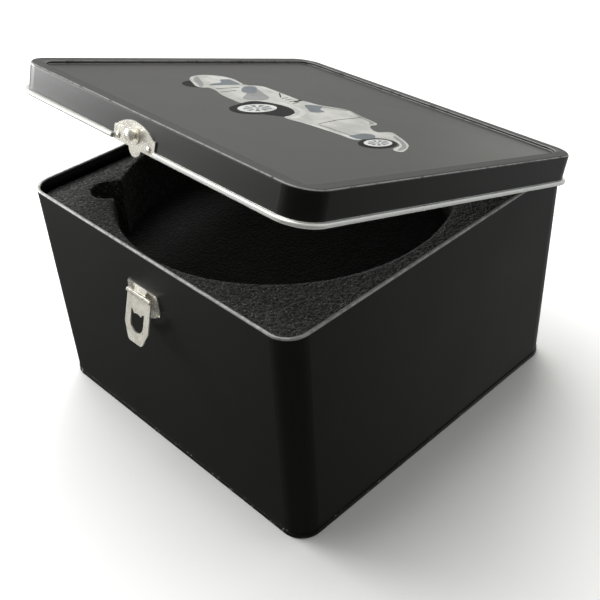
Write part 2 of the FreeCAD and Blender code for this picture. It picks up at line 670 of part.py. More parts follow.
def make_tongue():
    """The backing plate inside the skirt; its round end shows below the curl."""
    body = new_body("latch_tongue")
    face = new_sketch(body, "face", "XZ_Plane")
    half = d["tongue_half"]
    low = half - d["tongue_drop"]
    draw_outline(face, [(-half, low), (half, low), (half, d["tongue_rise"]), (-half, d["tongue_rise"])])
    pad(body, face, d["sheet"], "face_pad")
    end = new_sketch(body, "end", "XZ_Plane")
    draw_circle(end, 0, low, half)
    pad(body, end, d["sheet"], "end_pad")
    drill(body, "stud_hole", "XZ_Plane", d["sheet"], [(0, d["stud_rise"] - d["catch_drop"])],
          d["stud_shank"], d["sheet"] + 0.2, False)
    place(body, d["latch_x"], -(LID_FRONT - 2 * d["sheet"]), HINGE_Z)
    swing_with_lid(body)


def make_keeper_plate():
    """The lower plate, on the base's front, with a tab that carries the link's pin."""
    body = new_body("latch_plate_lower")
    face = new_sketch(body, "face", "XZ_Plane")
    draw_outline(face, plate_corners(d["keeper_width"], d["keeper_ear"], d["keeper_rise"], -1))
    pad(body, face, d["plate_thick"], "face_pad")
    half = d["keeper_width"].value / 2
    round_edges(body, d["ear_round"], "ears",
                lambda e: near(e.BoundBox.YLength, d["plate_thick"].value)
                and near(abs(e.BoundBox.XMin), half) and near(e.BoundBox.XLength, 0)
                and near(e.BoundBox.ZLength, 0))
    # the tab leaves the plate's top edge on a slant and ends in a knuckle; outwards is -Y
    pivot = d["link_pivot_z"] - d["keeper_top"]
    thick = d["plate_thick"]
    inner = -(d["link_pivot_out"] - d["knuckle_radius"])
    tab = new_sketch(body, "tab", "YZ_Plane")
    draw_outline(tab, [(inner - thick, pivot), (inner, pivot), (inner, pivot + 1.6), (0, -0.9),
                       (0, 0), (-thick, 0), (inner - thick, pivot + 2.0)])
    pad(body, tab, 2 * d["knuckle_half"], "tab_pad", midplane=True)
    knuckle = new_sketch(body, "knuckle", "YZ_Plane")
    draw_circle(knuckle, -d["link_pivot_out"], pivot, d["knuckle_radius"])
    pad(body, knuckle, 2 * d["knuckle_half"], "knuckle_pad", midplane=True)
    bore = new_sketch(body, "bore", "YZ_Plane")
    draw_circle(bore, -d["link_pivot_out"], pivot, d["knuckle_bore"])
    pocket(body, bore, 2 * d["knuckle_half"] + 1.0, "bore_cut", midplane=True)
    marks = rivet_marks(size(0), d["keeper_rivet_half"], -d["keeper_rivet_drop"])
    drill(body, "rivet_holes", "XZ_Plane", thick, marks, d["rivet_shank"], thick + 0.2, False)
    place(body, d["latch_x"], -BACK, d["keeper_top"])


def make_link():
    """The swinging hasp link, drawn hanging from its pivot: two knuckles and a loop."""
    body = new_body("latch_link")
    half, waist, tip = d["link_half"], d["link_waist"], d["link_tip_half"]
    face = new_sketch(body, "face", "XZ_Plane", -d["link_thick"])
    draw_outline(face, [(-half, 0), (-waist, -d["link_shoulder"]), (-tip, -d["link_length"]),
                        (tip, -d["link_length"]), (waist, -d["link_shoulder"]), (half, 0)])
    pad(body, face, d["link_thick"], "face_pad")
    round_edges(body, size(2.6), "corners",
                lambda e: near(e.BoundBox.YLength, d["link_thick"].value)
                and e.BoundBox.ZMax < -1.0)
    loop = new_sketch(body, "loop", "XZ_Plane")
    draw_circle(loop, 0, -d["loop_reach"], d["loop_radius"])
    pocket(body, loop, d["link_thick"] + 0.2, "loop_cut")
    return body


def finish_link(body):
    """Cuts the loop's upper part, leaving the tooth, then adds the knuckles."""
    tooth = new_sketch(body, "tooth", "XZ_Plane")
    wide, root = d["loop_radius"], d["tooth_half"]
    draw_outline(tooth, [(-wide, -d["loop_top"]), (-wide, -d["loop_reach"]), (wide, -d["loop_reach"]),
                         (wide, -d["loop_top"]), (root, -d["loop_top"]), (0, -d["tooth_reach"]),
                         (-root, -d["loop_top"])])
    pocket(body, tooth, d["link_thick"] + 0.2, "tooth_cut")
    relief = new_sketch(body, "relief", "XZ_Plane")
    play = d["knuckle_half"] + d["knuckle_play"]
    drop = d["knuckle_radius"] + 0.4
    draw_outline(relief, [(-play, -drop), (play, -drop), (play, 1), (-play, 1)])
    pocket(body, relief, d["link_thick"] + 0.2, "relief_cut")
    length = d["link_half"] - play
    for side, name in ((-1, "left"), (1, "right")):
        middle = side * (play + length / 2)
        ring = new_sketch(body, f"knuckle_{name}", "YZ_Plane", middle)
        draw_circle(ring, 0, 0, d["knuckle_radius"])
        pad(body, ring, length, f"knuckle_{name}_pad", midplane=True)
    bore = new_sketch(body, "bore", "YZ_Plane")
    draw_circle(bore, 0, 0, d["knuckle_bore"])
    pocket(body, bore, 2 * d["link_waist"] + 1.0, "bore_cut", midplane=True)
    place(body, d["latch_x"], -(BACK + d["link_pivot_out"]), d["link_pivot_z"],
          tilt=-d["link_angle"].value)


# ---------------------------------------------------------------- assembly
make_base_shell()
make_bottom_panel()
make_foam()

for side, name in ((-1, "left"), (1, "right")):
    make_strap(f"hinge_strap_{name}", side)
wire = make_rod("hinge_wire", d["wire_radius"], d["wire_length"])
place(wire, 0, HINGE_Y, HINGE_Z)

for side, name in ((-1, "left"), (1, "right")):
    for place_x, end in ((-1, "a"), (1, "b")):
        rivet = make_rivet(f"strap_rivet_{name}_{end}", d["strap_thick"] + d["sheet"])
        x = side * d["strap_spread"] + place_x * d["strap_rivet_half"]
        place(rivet, x, BACK + d["strap_thick"], STRAP_RIVET_Z)
        rivet.Placement = rivet.Placement.multiply(Placement(Vector(), Rotation(Vector(0, 0, 1), 180)))
    rivet = make_rivet(f"plate_rivet_lower_{name}", d["plate_thick"] + d["sheet"])
    place(rivet, d["latch_x"] + side * d["keeper_rivet_half"], -(BACK + d["plate_thick"]),
          KEEPER_RIVET_Z)
    rivet = make_rivet(f"plate_rivet_upper_{name}", d["plate_thick"] + d["sheet"])
    place(rivet, d["latch_x"] + side * d["catch_rivet_half"], -(LID_FRONT + d["plate_thick"]),
          CATCH_RIVET_Z)
    swing_with_lid(rivet)

make_lid_shell()
make_catch_plate()
make_tongue()
make_stud()
make_keeper_plate()
finish_link(make_link())
pin = make_rod("latch_pin", d["pin_radius"], 2 * d["link_half"] + 1.0)
place(pin, d["latch_x"], -(BACK + d["link_pivot_out"]), d["link_pivot_z"])

# ---------------------------------------------------------------- check and write
doc.recompute()
for item in doc.Objects:
    if "Invalid" in item.State or "Error" in item.State:
        raise RuntimeError(f"{item.Name} failed: {item.State}")

os.makedirs("parts", exist_ok=True)
for body in doc.findObjects("PartDesign::Body"):
    shape = body.Shape
    if shape.isNull() or not shape.isValid() or not shape.Solids:
        raise RuntimeError(f"{body.Label} has no valid solid")
    shape.exportStep(f"parts/{body.Label}.step")
    print(f"{body.Label}: {len(shape.Solids)} solid, {shape.Volume:.1f} mm3")
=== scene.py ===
"""Looks for a black tinplate presentation box with a nickel hasp and a foam insert.

Metres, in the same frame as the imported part: +Z up, the latch on the front (-Y).
"""
import json
import math

import bmesh
import bpy
from mathutils import Matrix, Vector, noise


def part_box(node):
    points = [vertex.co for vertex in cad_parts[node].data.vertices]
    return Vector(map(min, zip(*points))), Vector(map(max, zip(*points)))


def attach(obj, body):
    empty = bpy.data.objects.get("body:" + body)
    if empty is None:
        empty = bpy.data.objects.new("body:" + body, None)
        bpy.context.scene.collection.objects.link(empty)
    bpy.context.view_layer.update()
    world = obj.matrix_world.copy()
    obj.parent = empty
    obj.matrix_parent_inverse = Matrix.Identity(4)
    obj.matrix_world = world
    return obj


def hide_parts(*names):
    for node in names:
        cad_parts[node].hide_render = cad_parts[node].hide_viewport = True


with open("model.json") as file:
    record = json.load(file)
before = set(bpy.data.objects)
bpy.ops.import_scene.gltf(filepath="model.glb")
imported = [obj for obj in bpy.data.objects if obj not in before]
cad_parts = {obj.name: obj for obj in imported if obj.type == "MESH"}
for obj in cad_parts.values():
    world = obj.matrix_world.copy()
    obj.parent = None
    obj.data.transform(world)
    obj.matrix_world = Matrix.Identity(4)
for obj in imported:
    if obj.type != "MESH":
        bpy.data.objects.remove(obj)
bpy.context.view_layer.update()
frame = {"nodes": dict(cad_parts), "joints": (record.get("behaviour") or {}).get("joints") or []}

MM = 0.001
nodes = frame["nodes"]

# ---------------------------------------------------------------- places from the frame
lid_joint = next(j for j in frame["joints"] if j["name"] == "lid_hinge")
HINGE = Vector(lid_joint["pos_m"])
LID_OPEN = math.radians(-min(lid_joint["range_deg"]))
OPEN_LID = (Matrix.Translation(HINGE) @ Matrix.Rotation(-LID_OPEN, 4, "X")
            @ Matrix.Translation(-HINGE))

# The shut lid: heights are above the hinge's axis.
CURL_TOP = 1.25 * MM
LID_RISE = 14.6 * MM
PANEL_SINK = 1.6 * MM
PANEL_TOP = HINGE.z + LID_RISE - PANEL_SINK
LID_HALF_WIDTH = 100.5 * MM
LID_HALF_DEPTH = 103.0 * MM


# ---------------------------------------------------------------- material helpers
class Graph:
    """A node material, built by calls that take either values or other nodes' outputs."""

    def __init__(self, name):
        self.start(bpy.data.materials.new(name), "Principled BSDF")

    def start(self, owner, shader):
        owner.use_nodes = True
        self.material = owner
        self.tree = owner.node_tree
        self.shader = self.tree.nodes[shader]

    def add(self, kind, settings=None, **inputs):
        node = self.tree.nodes.new("ShaderNode" + kind)
        for key, value in (settings or {}).items():
            setattr(node, key, value)
        for key, value in inputs.items():
            self.put(node.inputs[key.replace("_", " ")], value)
        return node

    def put(self, socket, value):
        if isinstance(value, bpy.types.NodeSocket):
            self.tree.links.new(value, socket)
        else:
            socket.default_value = value

    def set(self, **inputs):
        for key, value in inputs.items():
            self.put(self.shader.inputs[key.replace("_", " ")], value)

    def math(self, operation, first, second=0.0):
        node = self.add("Math", {"operation": operation})
        self.put(node.inputs[0], first)
        self.put(node.inputs[1], second)
        return node.outputs[0]

    def plus(self, first, second):
        return self.math("ADD", first, second)

    def times(self, first, second):
        return self.math("MULTIPLY", first, second)

    def vector_math(self, operation, first, second):
        node = self.add("VectorMath", {"operation": operation})
        self.put(node.inputs[0], first)
        self.put(node.inputs[1], second)
        return node.outputs

    def mix(self, factor, first, second):
        """A colour that goes from first to second as factor goes from 0 to 1."""
        node = self.add("Mix", {"data_type": "RGBA"})
        self.put(node.inputs[0], factor)
        for socket, colour in ((node.inputs[6], first), (node.inputs[7], second)):
            linked = isinstance(colour, bpy.types.NodeSocket)
            self.put(socket, colour if linked else (*colour, 1))
        return node.outputs[2]

    def blend(self, factor, first, second):
        """A number that goes from first to second as factor goes from 0 to 1."""
        node = self.add("Mix", {"data_type": "FLOAT"})
        self.put(node.inputs[0], factor)
        self.put(node.inputs[2], first)
        self.put(node.inputs[3], second)
        return node.outputs[0]

    def ramp(self, value, low, high):
        """0 at low and before it, 1 at high and past it, smooth between."""
        node = self.add("MapRange", {"interpolation_type": "SMOOTHSTEP"}, Value=value,
                        From_Min=low, From_Max=high)
        return node.outputs[0]

    def object_point(self):
        return self.add("TexCoord").outputs["Object"]

    def normal(self):
        return self.add("TexCoord").outputs["Normal"]

    def noise(self, point, scale, detail=3.0, rough=0.55):
        return self.add("TexNoise", Vector=point, Scale=scale, Detail=detail,
                        Roughness=rough).outputs[0]

    def cells(self, point, scale, feature="F1"):
        return self.add("TexVoronoi", {"feature": feature}, Vector=point, Scale=scale).outputs[0]

    def split(self, vector):
        return self.add("SeparateXYZ", Vector=vector).outputs

    def bump(self, height, strength, distance):
        node = self.add("Bump", Height=height, Strength=strength, Distance=distance)
        self.put(self.shader.inputs["Normal"], node.outputs[0])


def inside(graph, point, normal, sense=10.0):
    """1 on the inner side of the sheet, 0 on its outer side, for walls and level faces.

    A negative sense is for walls that drop towards the middle, round the sunken panel.
    """
    p, n = graph.split(point), graph.split(normal)
    across = graph.times(p[0], n[0])
    along = graph.times(p[1], n[1])
    outward = graph.times(graph.plus(across, along), sense)
    return graph.math("LESS_THAN", graph.plus(outward, n[2]), 0.0)


def lacquer_grain(graph, point):
    """The fine pebble of black satin lacquer, and its slow unevenness."""
    pebble = graph.cells(point, 1500.0, "SMOOTH_F1")
    fine = graph.noise(point, 2600.0, 2.0)
    grain = graph.plus(graph.times(pebble, 0.8), graph.times(fine, 0.5))
    slow = graph.noise(point, 22.0, 4.0)
    return grain, slow


BLACK = (0.0030, 0.0030, 0.0027)
GREYER = (0.0050, 0.0050, 0.0046)
WORN = (0.34, 0.34, 0.33)
TIN_DULL = (0.80, 0.80, 0.77)
TIN_BRIGHT = (0.94, 0.94, 0.91)
TIN_STAIN = (0.34, 0.33, 0.30)


def shut_lid(graph, point, normal):
    """A point and a normal as they are on the shut lid, with heights from the hinge's axis."""
    from_hinge = graph.vector_math("SUBTRACT", point, HINGE)[0]
    shut = graph.add("Mapping", Vector=from_hinge, Rotation=(LID_OPEN, 0, 0)).outputs[0]
    turned = graph.add("Mapping", {"vector_type": "NORMAL"}, Vector=normal,
                       Rotation=(LID_OPEN, 0, 0)).outputs[0]
    return graph.vector_math("ADD", shut, (0, HINGE.y, 0))[0], turned


def lid_material():
    """Black lacquer outside, bare tin inside and on the curl."""
    g = Graph("lid_lacquer_and_tin")
    point = g.object_point()
    place, turned = shut_lid(g, point, g.normal())
    x, y, z = g.split(place)
    past_sides = g.math("MAXIMUM", g.math("SUBTRACT", g.math("ABSOLUTE", x), LID_HALF_WIDTH),
                        g.math("SUBTRACT", g.math("ABSOLUTE", y), LID_HALF_DEPTH))
    panel_side = g.math("LESS_THAN", past_sides, -4.0 * MM)
    within = inside(g, place, turned, g.blend(panel_side, 10.0, -10.0))
    grain, slow = lacquer_grain(g, point)
    ragged = g.times(g.noise(point, 700.0), 0.35 * MM)
    curl = g.math("LESS_THAN", z, g.plus(ragged, CURL_TOP - 0.2 * MM))
    bare = g.math("MAXIMUM", curl, within)

    # lacquer rubbed thin along the crest of the shoulder and of the panel's edge
    lean = g.split(turned)[2]
    crest = g.times(g.ramp(lean, 0.42, 0.58), g.ramp(lean, 0.90, 0.74))
    rubbed = g.times(crest, g.ramp(g.noise(point, 260.0, 5.0), 0.25, 0.55))
    above_skirt = g.math("GREATER_THAN", z, LID_RISE - PANEL_SINK - 0.1 * MM)
    rubbed = g.times(rubbed, above_skirt)
    pale = g.times(g.ramp(g.noise(point, 330.0, 6.0, 0.7), 0.66, 0.74), 0.08)
    lacquer = g.mix(slow, BLACK, GREYER)
    lacquer = g.mix(pale, lacquer, WORN)
    lacquer = g.mix(g.times(rubbed, 0.75), lacquer, WORN)
    stains = g.times(g.ramp(g.noise(point, 900.0), 0.62, 0.75), 0.30)
    tin = g.mix(g.noise(point, 60.0, 5.0), TIN_DULL, TIN_BRIGHT)
    tin = g.mix(stains, tin, TIN_STAIN)
    g.set(Base_Color=g.mix(bare, lacquer, tin))
    g.set(Metallic=g.times(bare, g.blend(within, 0.55, 0.95)))

    # the flat border round the panel is more matt
    border = g.times(g.ramp(past_sides, -6.6 * MM, -5.4 * MM),
                     g.math("GREATER_THAN", z, LID_RISE - 0.6 * MM))
    satin = g.plus(g.blend(slow, 0.32, 0.42), g.times(border, 0.20))
    g.set(Roughness=g.blend(bare, satin, g.blend(g.noise(point, 35.0), 0.16, 0.34)))
    g.bump(g.blend(bare, grain, g.times(g.noise(point, 260.0), 0.6)), 0.50, 0.07 * MM)
    return g.material


def base_material():
    """Black lacquer, bluish black inside, a lighter, part-metallic grey along the top of the rim.
    """
    g = Graph("base_lacquer")
    point = g.object_point()
    within = inside(g, point, g.normal())
    z = g.split(point)[2]
    grain, slow = lacquer_grain(g, point)
    # a lighter, half-metallic grey along the top of the rim, patchy by noise
    rim = g.ramp(z, 124.7 * MM, 125.3 * MM)
    rim_pale = g.times(rim, g.blend(g.ramp(g.noise(point, 300.0, 5.0), 0.3, 0.6), 0.55, 1.0))
    foot = g.ramp(z, 6.0 * MM, 0.5 * MM)
    chips = g.times(foot, g.ramp(g.noise(point, 500.0, 6.0), 0.62, 0.70))
    scuffs = g.times(g.ramp(g.noise(point, 75.0, 8.0, 0.7), 0.60, 0.72), 0.08)
    lacquer = g.mix(slow, BLACK, GREYER)
    lacquer = g.mix(scuffs, lacquer, (0.06, 0.06, 0.06))
    lacquer = g.mix(g.times(within, 0.8), lacquer, (0.003, 0.0035, 0.007))
    lacquer = g.mix(g.times(rim_pale, 0.9), lacquer, (0.46, 0.46, 0.45))
    g.set(Base_Color=g.mix(chips, lacquer, (0.45, 0.45, 0.43)))
    g.set(Metallic=g.times(rim_pale, 0.5))
    g.set(Roughness=g.blend(within, g.blend(slow, 0.38, 0.50), 0.22))
    g.bump(g.times(grain, g.blend(within, 1.0, 0.15)), 0.45, 0.07 * MM)
    return g.material


def nickel_material(name, colour, rough, metal):
    """Plated steel with fine upright drawing marks and small brown spots."""
    g = Graph(name)
    point = g.object_point()
    cloud = g.noise(point, 160.0, 5.0)
    drawn = g.add("Mapping", Vector=point, Scale=(3000.0, 3000.0, 260.0)).outputs[0]
    streak = g.add("TexNoise", Vector=drawn, Scale=1.0, Detail=3.0).outputs[0]
    spots = g.ramp(g.noise(point, 1100.0, 4.0), 0.64, 0.74)
    dull = tuple(0.80 * c for c in colour)
    body = g.mix(g.ramp(cloud, 0.35, 0.65), dull, colour)
    g.set(Base_Color=g.mix(g.times(spots, 0.45), body, (0.24, 0.19, 0.13)), Metallic=metal)
    g.set(Roughness=g.plus(g.times(streak, 0.16), rough))
    g.bump(g.plus(g.times(streak, 0.6), g.times(cloud, 0.8)), 0.15, 0.03 * MM)
    return g.material


def foam_material(name, tone):
    """Open-cell foam: dark pores, and pale flecks painted in as glints where cut fibres would
    catch the light.
    """
    g = Graph(name)
    point = g.object_point()
    cell = g.cells(point, 560.0)
    fibre = g.cells(point, 900.0)
    slow = g.noise(point, 45.0, 4.0)
    pores = g.times(cell, g.blend(g.noise(point, 1300.0, 3.0), 0.5, 1.5))
    dark = (0.12 * tone, 0.12 * tone, 0.12 * tone)
    middle = (1.2 * tone, 1.2 * tone, 1.17 * tone)
    bright = (9.0 * tone, 9.0 * tone, 8.9 * tone)
    # painted glints: pale flecks where cut fibres would catch the light
    fibre_glints = g.times(g.ramp(fibre, 0.34, 0.16), g.ramp(g.noise(point, 420.0, 2.0), 0.42, 0.60))
    colour = g.mix(g.ramp(pores, 0.25, 0.70), dark, middle)
    colour = g.mix(g.times(fibre_glints, 0.9), colour, bright)
    colour = g.mix(g.times(slow, 0.35), colour, dark)
    g.set(Base_Color=colour, Roughness=g.blend(fibre_glints, 0.95, 0.55), Sheen_Weight=0.15)
    g.bump(g.math("SUBTRACT", pores, g.times(fibre, 0.6)), 1.0, 0.5 * MM)
    return g.material


def print_material(name, colour, rough, metal=0.0, matt=False):
    """Ink on the lid: it takes the lacquer's pebble."""
    g = Graph(name)
    point = g.object_point()
    grain, slow = lacquer_grain(g, point)
    worn = g.ramp(g.noise(point, 800.0, 5.0), 0.62, 0.74)
    cast = g.ramp(g.noise(point, 90.0, 4.0), 0.35, 0.65)
    darker = tuple(0.70 * c for c in colour)
    ink = g.mix(g.times(cast, g.blend(slow, 0.6, 1.0)), darker, colour)
    g.set(Base_Color=g.mix(g.times(worn, 0.6), ink, BLACK), Metallic=metal)
    g.set(Roughness=g.blend(grain, rough - 0.06, rough + 0.08))
    if matt:
        g.set(Specular_IOR_Level=0.12)
    g.bump(grain, 0.2, 0.05 * MM)
    return g.material


def dress(names, material):
    for name in names:
        data = nodes[name].data
        data.materials.clear()
        data.materials.append(material)


dress(["lid_shell"], lid_material())
dress(["base_shell", "bottom_panel"], base_material())
nickel = nickel_material("warm_nickel", (0.98, 0.95, 0.86), rough=0.17, metal=0.75)
steel = nickel_material("bright_steel", (0.74, 0.74, 0.73), rough=0.26, metal=0.90)
dress([n for n in nodes if "latch" in n or "plate_rivet" in n], nickel)
dress([n for n in nodes if n.startswith("hinge") or n.startswith("strap")], steel)


# ---------------------------------------------------------------- mesh helpers
def new_object(name, data):
    obj = bpy.data.objects.new(name, data)
    bpy.context.scene.collection.objects.link(obj)
    return obj


def to_mesh_data(name, mesh):
    """Mesh data from a bmesh, which is freed."""
    data = bpy.data.meshes.new(name)
    mesh.to_mesh(data)
    mesh.free()
    return data


def baked(obj):
    """A plain mesh of obj with its modifiers applied."""
    depsgraph = bpy.context.evaluated_depsgraph_get()
    return bpy.data.meshes.new_from_object(obj.evaluated_get(depsgraph))


def loop_mesh(name, loops, low, high):
    """A solid between two heights whose outline is the first loop and whose holes are the rest."""
    curve = bpy.data.curves.new(name, "CURVE")
    curve.dimensions = "2D"
    curve.fill_mode = "BOTH"
    curve.extrude = (high - low) / 2
    for loop in loops:
        spline = curve.splines.new("POLY")
        spline.points.add(len(loop) - 1)
        for point, (x, y) in zip(spline.points, loop):
            point.co = (x, y, 0, 1)
        spline.use_cyclic_u = True
    holder = new_object(name + "_outline", curve)
    holder.location.z = (high + low) / 2
    bpy.context.view_layer.update()
    mesh = baked(holder)
    mesh.transform(holder.matrix_world)
    bpy.data.objects.remove(holder)
    mesh.name = name
    return mesh


def arc_points(x, y, radius, start, end, count):
    step = (end - start) / (count - 1)
    return [(x + radius * math.cos(math.radians(start + i * step)),
             y + radius * math.sin(math.radians(start + i * step))) for i in range(count)]


def rounded_loop(low, high, radius, count=9):
    """The outline of a box seen from above, with rounded corners."""
    left, right = low.x + radius, high.x - radius
    front, back = low.y + radius, high.y - radius
    points = []
    for x, y, start in ((right, back, 0), (left, back, 90),
                        (left, front, 180), (right, front, 270)):
        points += arc_points(x, y, radius, start, start + 90, count)
    return points


def foam_piece(name, node, loops, low, high, voxel, tone):
    """A cut block of foam: remeshed fine, then roughened along its normals."""
    obj = new_object(name, loop_mesh(name, loops, low, high))
    remesh = obj.modifiers.new("cut", "REMESH")
    remesh.mode = "VOXEL"
    remesh.voxel_size = voxel
    bpy.context.view_layer.update()
    mesh = baked(obj)
    obj.modifiers.clear()
    obj.data = mesh
    places = [(vertex.co.copy(), vertex.normal.copy()) for vertex in mesh.vertices]
    moved = []
    for p, normal in places:
        rough = (noise.noise(p * 900.0) * 0.22 + noise.noise(p * 420.0) * 0.14
                 + noise.noise(p * 60.0) * 0.10)
        moved.extend(p + normal * (rough - 0.12) * MM)
    mesh.vertices.foreach_set("co", moved)
    mesh.update()
    mesh.shade_smooth()
    mesh.materials.append(foam_material(name + "_cells", tone))
    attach(obj, "base")
    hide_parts(node)


# ---------------------------------------------------------------- foam insert
cut_low, cut_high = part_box("foam_cutout")
block_low, block_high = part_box("foam_block")
FOAM_CORNER = 11.15 * MM
RECESS = Vector((-6.6, -3.0)) * MM
RECESS_RADIUS = 91.0 * MM
NOTCH_RADIUS = 8.9 * MM
NOTCH_REACH = 96.5 * MM
NOTCH_TURN = 224.0


def recess_loop():
    """The round recess with its finger notch, as one closed loop."""
    half = math.degrees(math.asin(NOTCH_RADIUS / RECESS_RADIUS))
    ring = arc_points(*RECESS, RECESS_RADIUS, NOTCH_TURN + half, NOTCH_TURN + 360 - half, 160)
    turn = math.radians(NOTCH_TURN)
    middle = RECESS + Vector((math.cos(turn), math.sin(turn))) * NOTCH_REACH
    tip = arc_points(*middle, NOTCH_RADIUS, NOTCH_TURN - 90, NOTCH_TURN + 90, 25)
    return ring + tip


foam_piece("foam_top_layer", "foam_cutout",
           [rounded_loop(cut_low, cut_high, FOAM_CORNER), recess_loop()],
           cut_low.z, cut_high.z, voxel=1.1 * MM, tone=0.048)
# the lower block is the same foam at a far darker tone: painted shade on the recess's floor under
# the lid
foam_piece("foam_lower_block_painted_shade", "foam_block",
           [rounded_loop(block_low, block_high, FOAM_CORNER)],
           block_low.z, block_high.z, voxel=1.7 * MM, tone=0.0040)


# ---------------------------------------------------------------- picture printed on the lid
def smooth_loop(points, steps=6):
    """A closed Catmull-Rom curve through the points, in mm."""
    count = len(points)
    result = []
    for i in range(count):
        a, b, c, d = (Vector(points[(i + k - 1) % count]) for k in range(4))
        for s in range(steps):
            t = s / steps
            result.append(0.5 * ((2 * b) + (c - a) * t + (2 * a - 5 * b + 4 * c - d) * t * t
                                 + (3 * b - a - 3 * c + d) * t ** 3))
    return result


def oval(x, y, wide, tall, lean=0.0, count=40):
    turn = Matrix.Rotation(math.radians(lean), 2)
    return [Vector((x, y)) + turn @ Vector((wide * math.cos(a), tall * math.sin(a)))
            for a in (2 * math.pi * i / count for i in range(count))]


def strip(start, end, wide):
    """A thin straight line of ink with rounded ends."""
    start, end = Vector(start), Vector(end)
    turn = math.degrees(math.atan2(*(end - start).yx))
    tips = (arc_points(*end, wide / 2, turn - 90, turn + 90, 7)
            + arc_points(*start, wide / 2, turn + 90, turn + 270, 7))
    return [Vector(p) for p in tips]


def wedge(centre, wide, tall, lean, angle, spread, near, far):
    """One gap between two spokes of a wheel seen at a slant."""
    turn = Matrix.Rotation(math.radians(lean), 2)
    corners = [(near, angle - spread), (near, angle + spread),
               (far, angle + spread), (far, angle - spread)]
    return [Vector(centre) + turn @ Vector((wide * r * math.cos(math.radians(a)),
                                            tall * r * math.sin(math.radians(a))))
            for r, a in corners]


# The picture's own millimetres are scaled and moved to their place on the panel. Each shape in a
# layer lies a little above the one before it.
PICTURE_SCALE = 1.03
PICTURE_AT = Vector((-9.6, 10.9))
SHAPE_STEP = 0.001 * MM
INK_BELOW_PANEL = 0.02 * MM


def printed(name, shapes, level, material):
    """Flat ink shapes on the lid's sunken panel; level is their height above it, in mm."""
    mesh = bmesh.new()
    for number, shape in enumerate(shapes):
        top = PANEL_TOP + level * MM + SHAPE_STEP * number
        ring = [mesh.verts.new((*(PICTURE_SCALE * p + PICTURE_AT) * MM, top)) for p in shape]
        face = mesh.faces.new(ring)
        if face.normal.z < 0:
            face.normal_flip()
        lower = bmesh.ops.extrude_face_region(mesh, geom=[face])
        moved = [v for v in lower["geom"] if isinstance(v, bmesh.types.BMVert)]
        bmesh.ops.translate(mesh, verts=moved, vec=(0, 0, -(level * MM + INK_BELOW_PANEL)))
    bmesh.ops.triangulate(mesh, faces=mesh.faces[:])
    bmesh.ops.recalc_face_normals(mesh, faces=mesh.faces[:])
    mesh.transform(OPEN_LID)
    data = to_mesh_data(name, mesh)
    data.materials.append(material)
    obj = new_object(name, data)
    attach(obj, "lid")


silver = print_material("silver_ink", (0.44, 0.44, 0.415), 0.42, 0.10)
pale = print_material("pale_ink", (0.56, 0.56, 0.545), 0.42, 0.10)
slate = print_material("slate_ink", (0.085, 0.105, 0.125), 0.42)
shade = print_material("shade_ink", (0.20, 0.20, 0.205), 0.42, 0.10)
soot = print_material("soot_ink", (0.004, 0.004, 0.005), 0.62, matt=True)

# An old open touring car of no particular make, seen from its front corner.
# Each wheel is its middle, half its width, half its height and its lean in degrees. A gap between
# two spokes runs from near to far, as parts of the wheel's radius.
FRONT_WHEEL = ((3.0, -38.3), 6.0, 13.6, 9.0)
REAR_WHEEL = ((62.6, -17.2), 4.7, 9.6, 5.0)
SPOKES = 9
SPOKE_TURN = 12.0
GAP_HALF = 11.0
GAP_NEAR, GAP_FAR = 0.26, 0.74
HUB = 0.12

far_fender = smooth_loop([
    (-55.5, -12), (-50, -8), (-44, -8.6), (-38, -11), (-36, -20), (-36, -30),
    (-34, -39), (-36.5, -43.5), (-44, -40.5), (-51, -36.5), (-56, -30), (-58, -21)])
front = smooth_loop([
    (-38, -10), (-30, -7), (-22, -12), (-10, -14), (-2, -20), (-5, -28), (-6, -40),
    (-12, -41), (-21, -40.5), (-29, -37.5), (-36, -37), (-38.5, -26)])
hull = smooth_loop([
    (-36, -8), (-34, -1), (-29, 0.6), (-8, 1.2), (-4, 3.2), (3, 6), (9, 13), (14, 16.4),
    (23, 14.6), (35, 13), (38.5, 10), (39, 5), (43, 0.5), (48.5, -1), (50.5, 7), (57, 5),
    (66, 0), (71, -5), (76, -15), (74.5, -18.5), (71.5, -17), (68, -8), (62, -5),
    (57, -9), (55.5, -17), (56, -26), (44, -28.5), (30, -32), (19.5, -35.8), (16.5, -29),
    (12, -21.5), (4, -18.5), (-3, -22), (-6.5, -28), (-16, -20), (-30, -12)])
tyres = [
    oval(-41.5, -40.0, 5.8, 10.0, 20),
    oval(3.4, -39.2, 8.4, 18.2, 9),
    oval(63.2, -18.2, 6.6, 13.0, 5),
    smooth_loop([(-9, -30), (-2, -20), (4, -17.6), (11, -20), (16, -27), (17, -33),
                 (10, -30), (2, -26)])]
glass = [
    smooth_loop([(1.5, -3.5), (3.5, 3.8), (6, 4.6), (10, -1), (14.5, -2.6), (13.5, -11),
                 (8, -8.5)]),
    smooth_loop([(-34, -7), (-30, -8), (-22, -17), (-24, -23), (-29, -20), (-34, -13)]),
    smooth_loop([(-48.5, -12), (-45, -11), (-38.5, -12.6), (-38, -22), (-38, -34), (-41, -29),
                 (-43, -22), (-48, -18)]),
    smooth_loop([(49, -11), (52, -8), (56, -12), (56.5, -20), (54, -25), (50.5, -24),
                 (49.5, -18)])]
shadows = [
    smooth_loop([(16, 15.2), (24, 12), (33, 10.6), (37, 6), (36.5, 10.5), (34, 12.2),
                 (24, 13.8)]),
    smooth_loop([(-30, -9), (-20, -12), (-12, -16), (-9, -25), (-13, -33), (-20, -25),
                 (-26, -18)]),
    smooth_loop([(-55, -28), (-47, -32), (-39, -37), (-35.5, -42), (-43, -38.5), (-51, -34)]),
    smooth_loop([(33, -24.6), (44, -22.4), (53, -21), (53, -22.4), (44, -24), (33, -26.4)]),
    smooth_loop([(56, 3.6), (66, -1.6), (72, -8), (74.5, -15), (73, -15.5), (69.5, -8),
                 (64, -3), (57, 1)])]
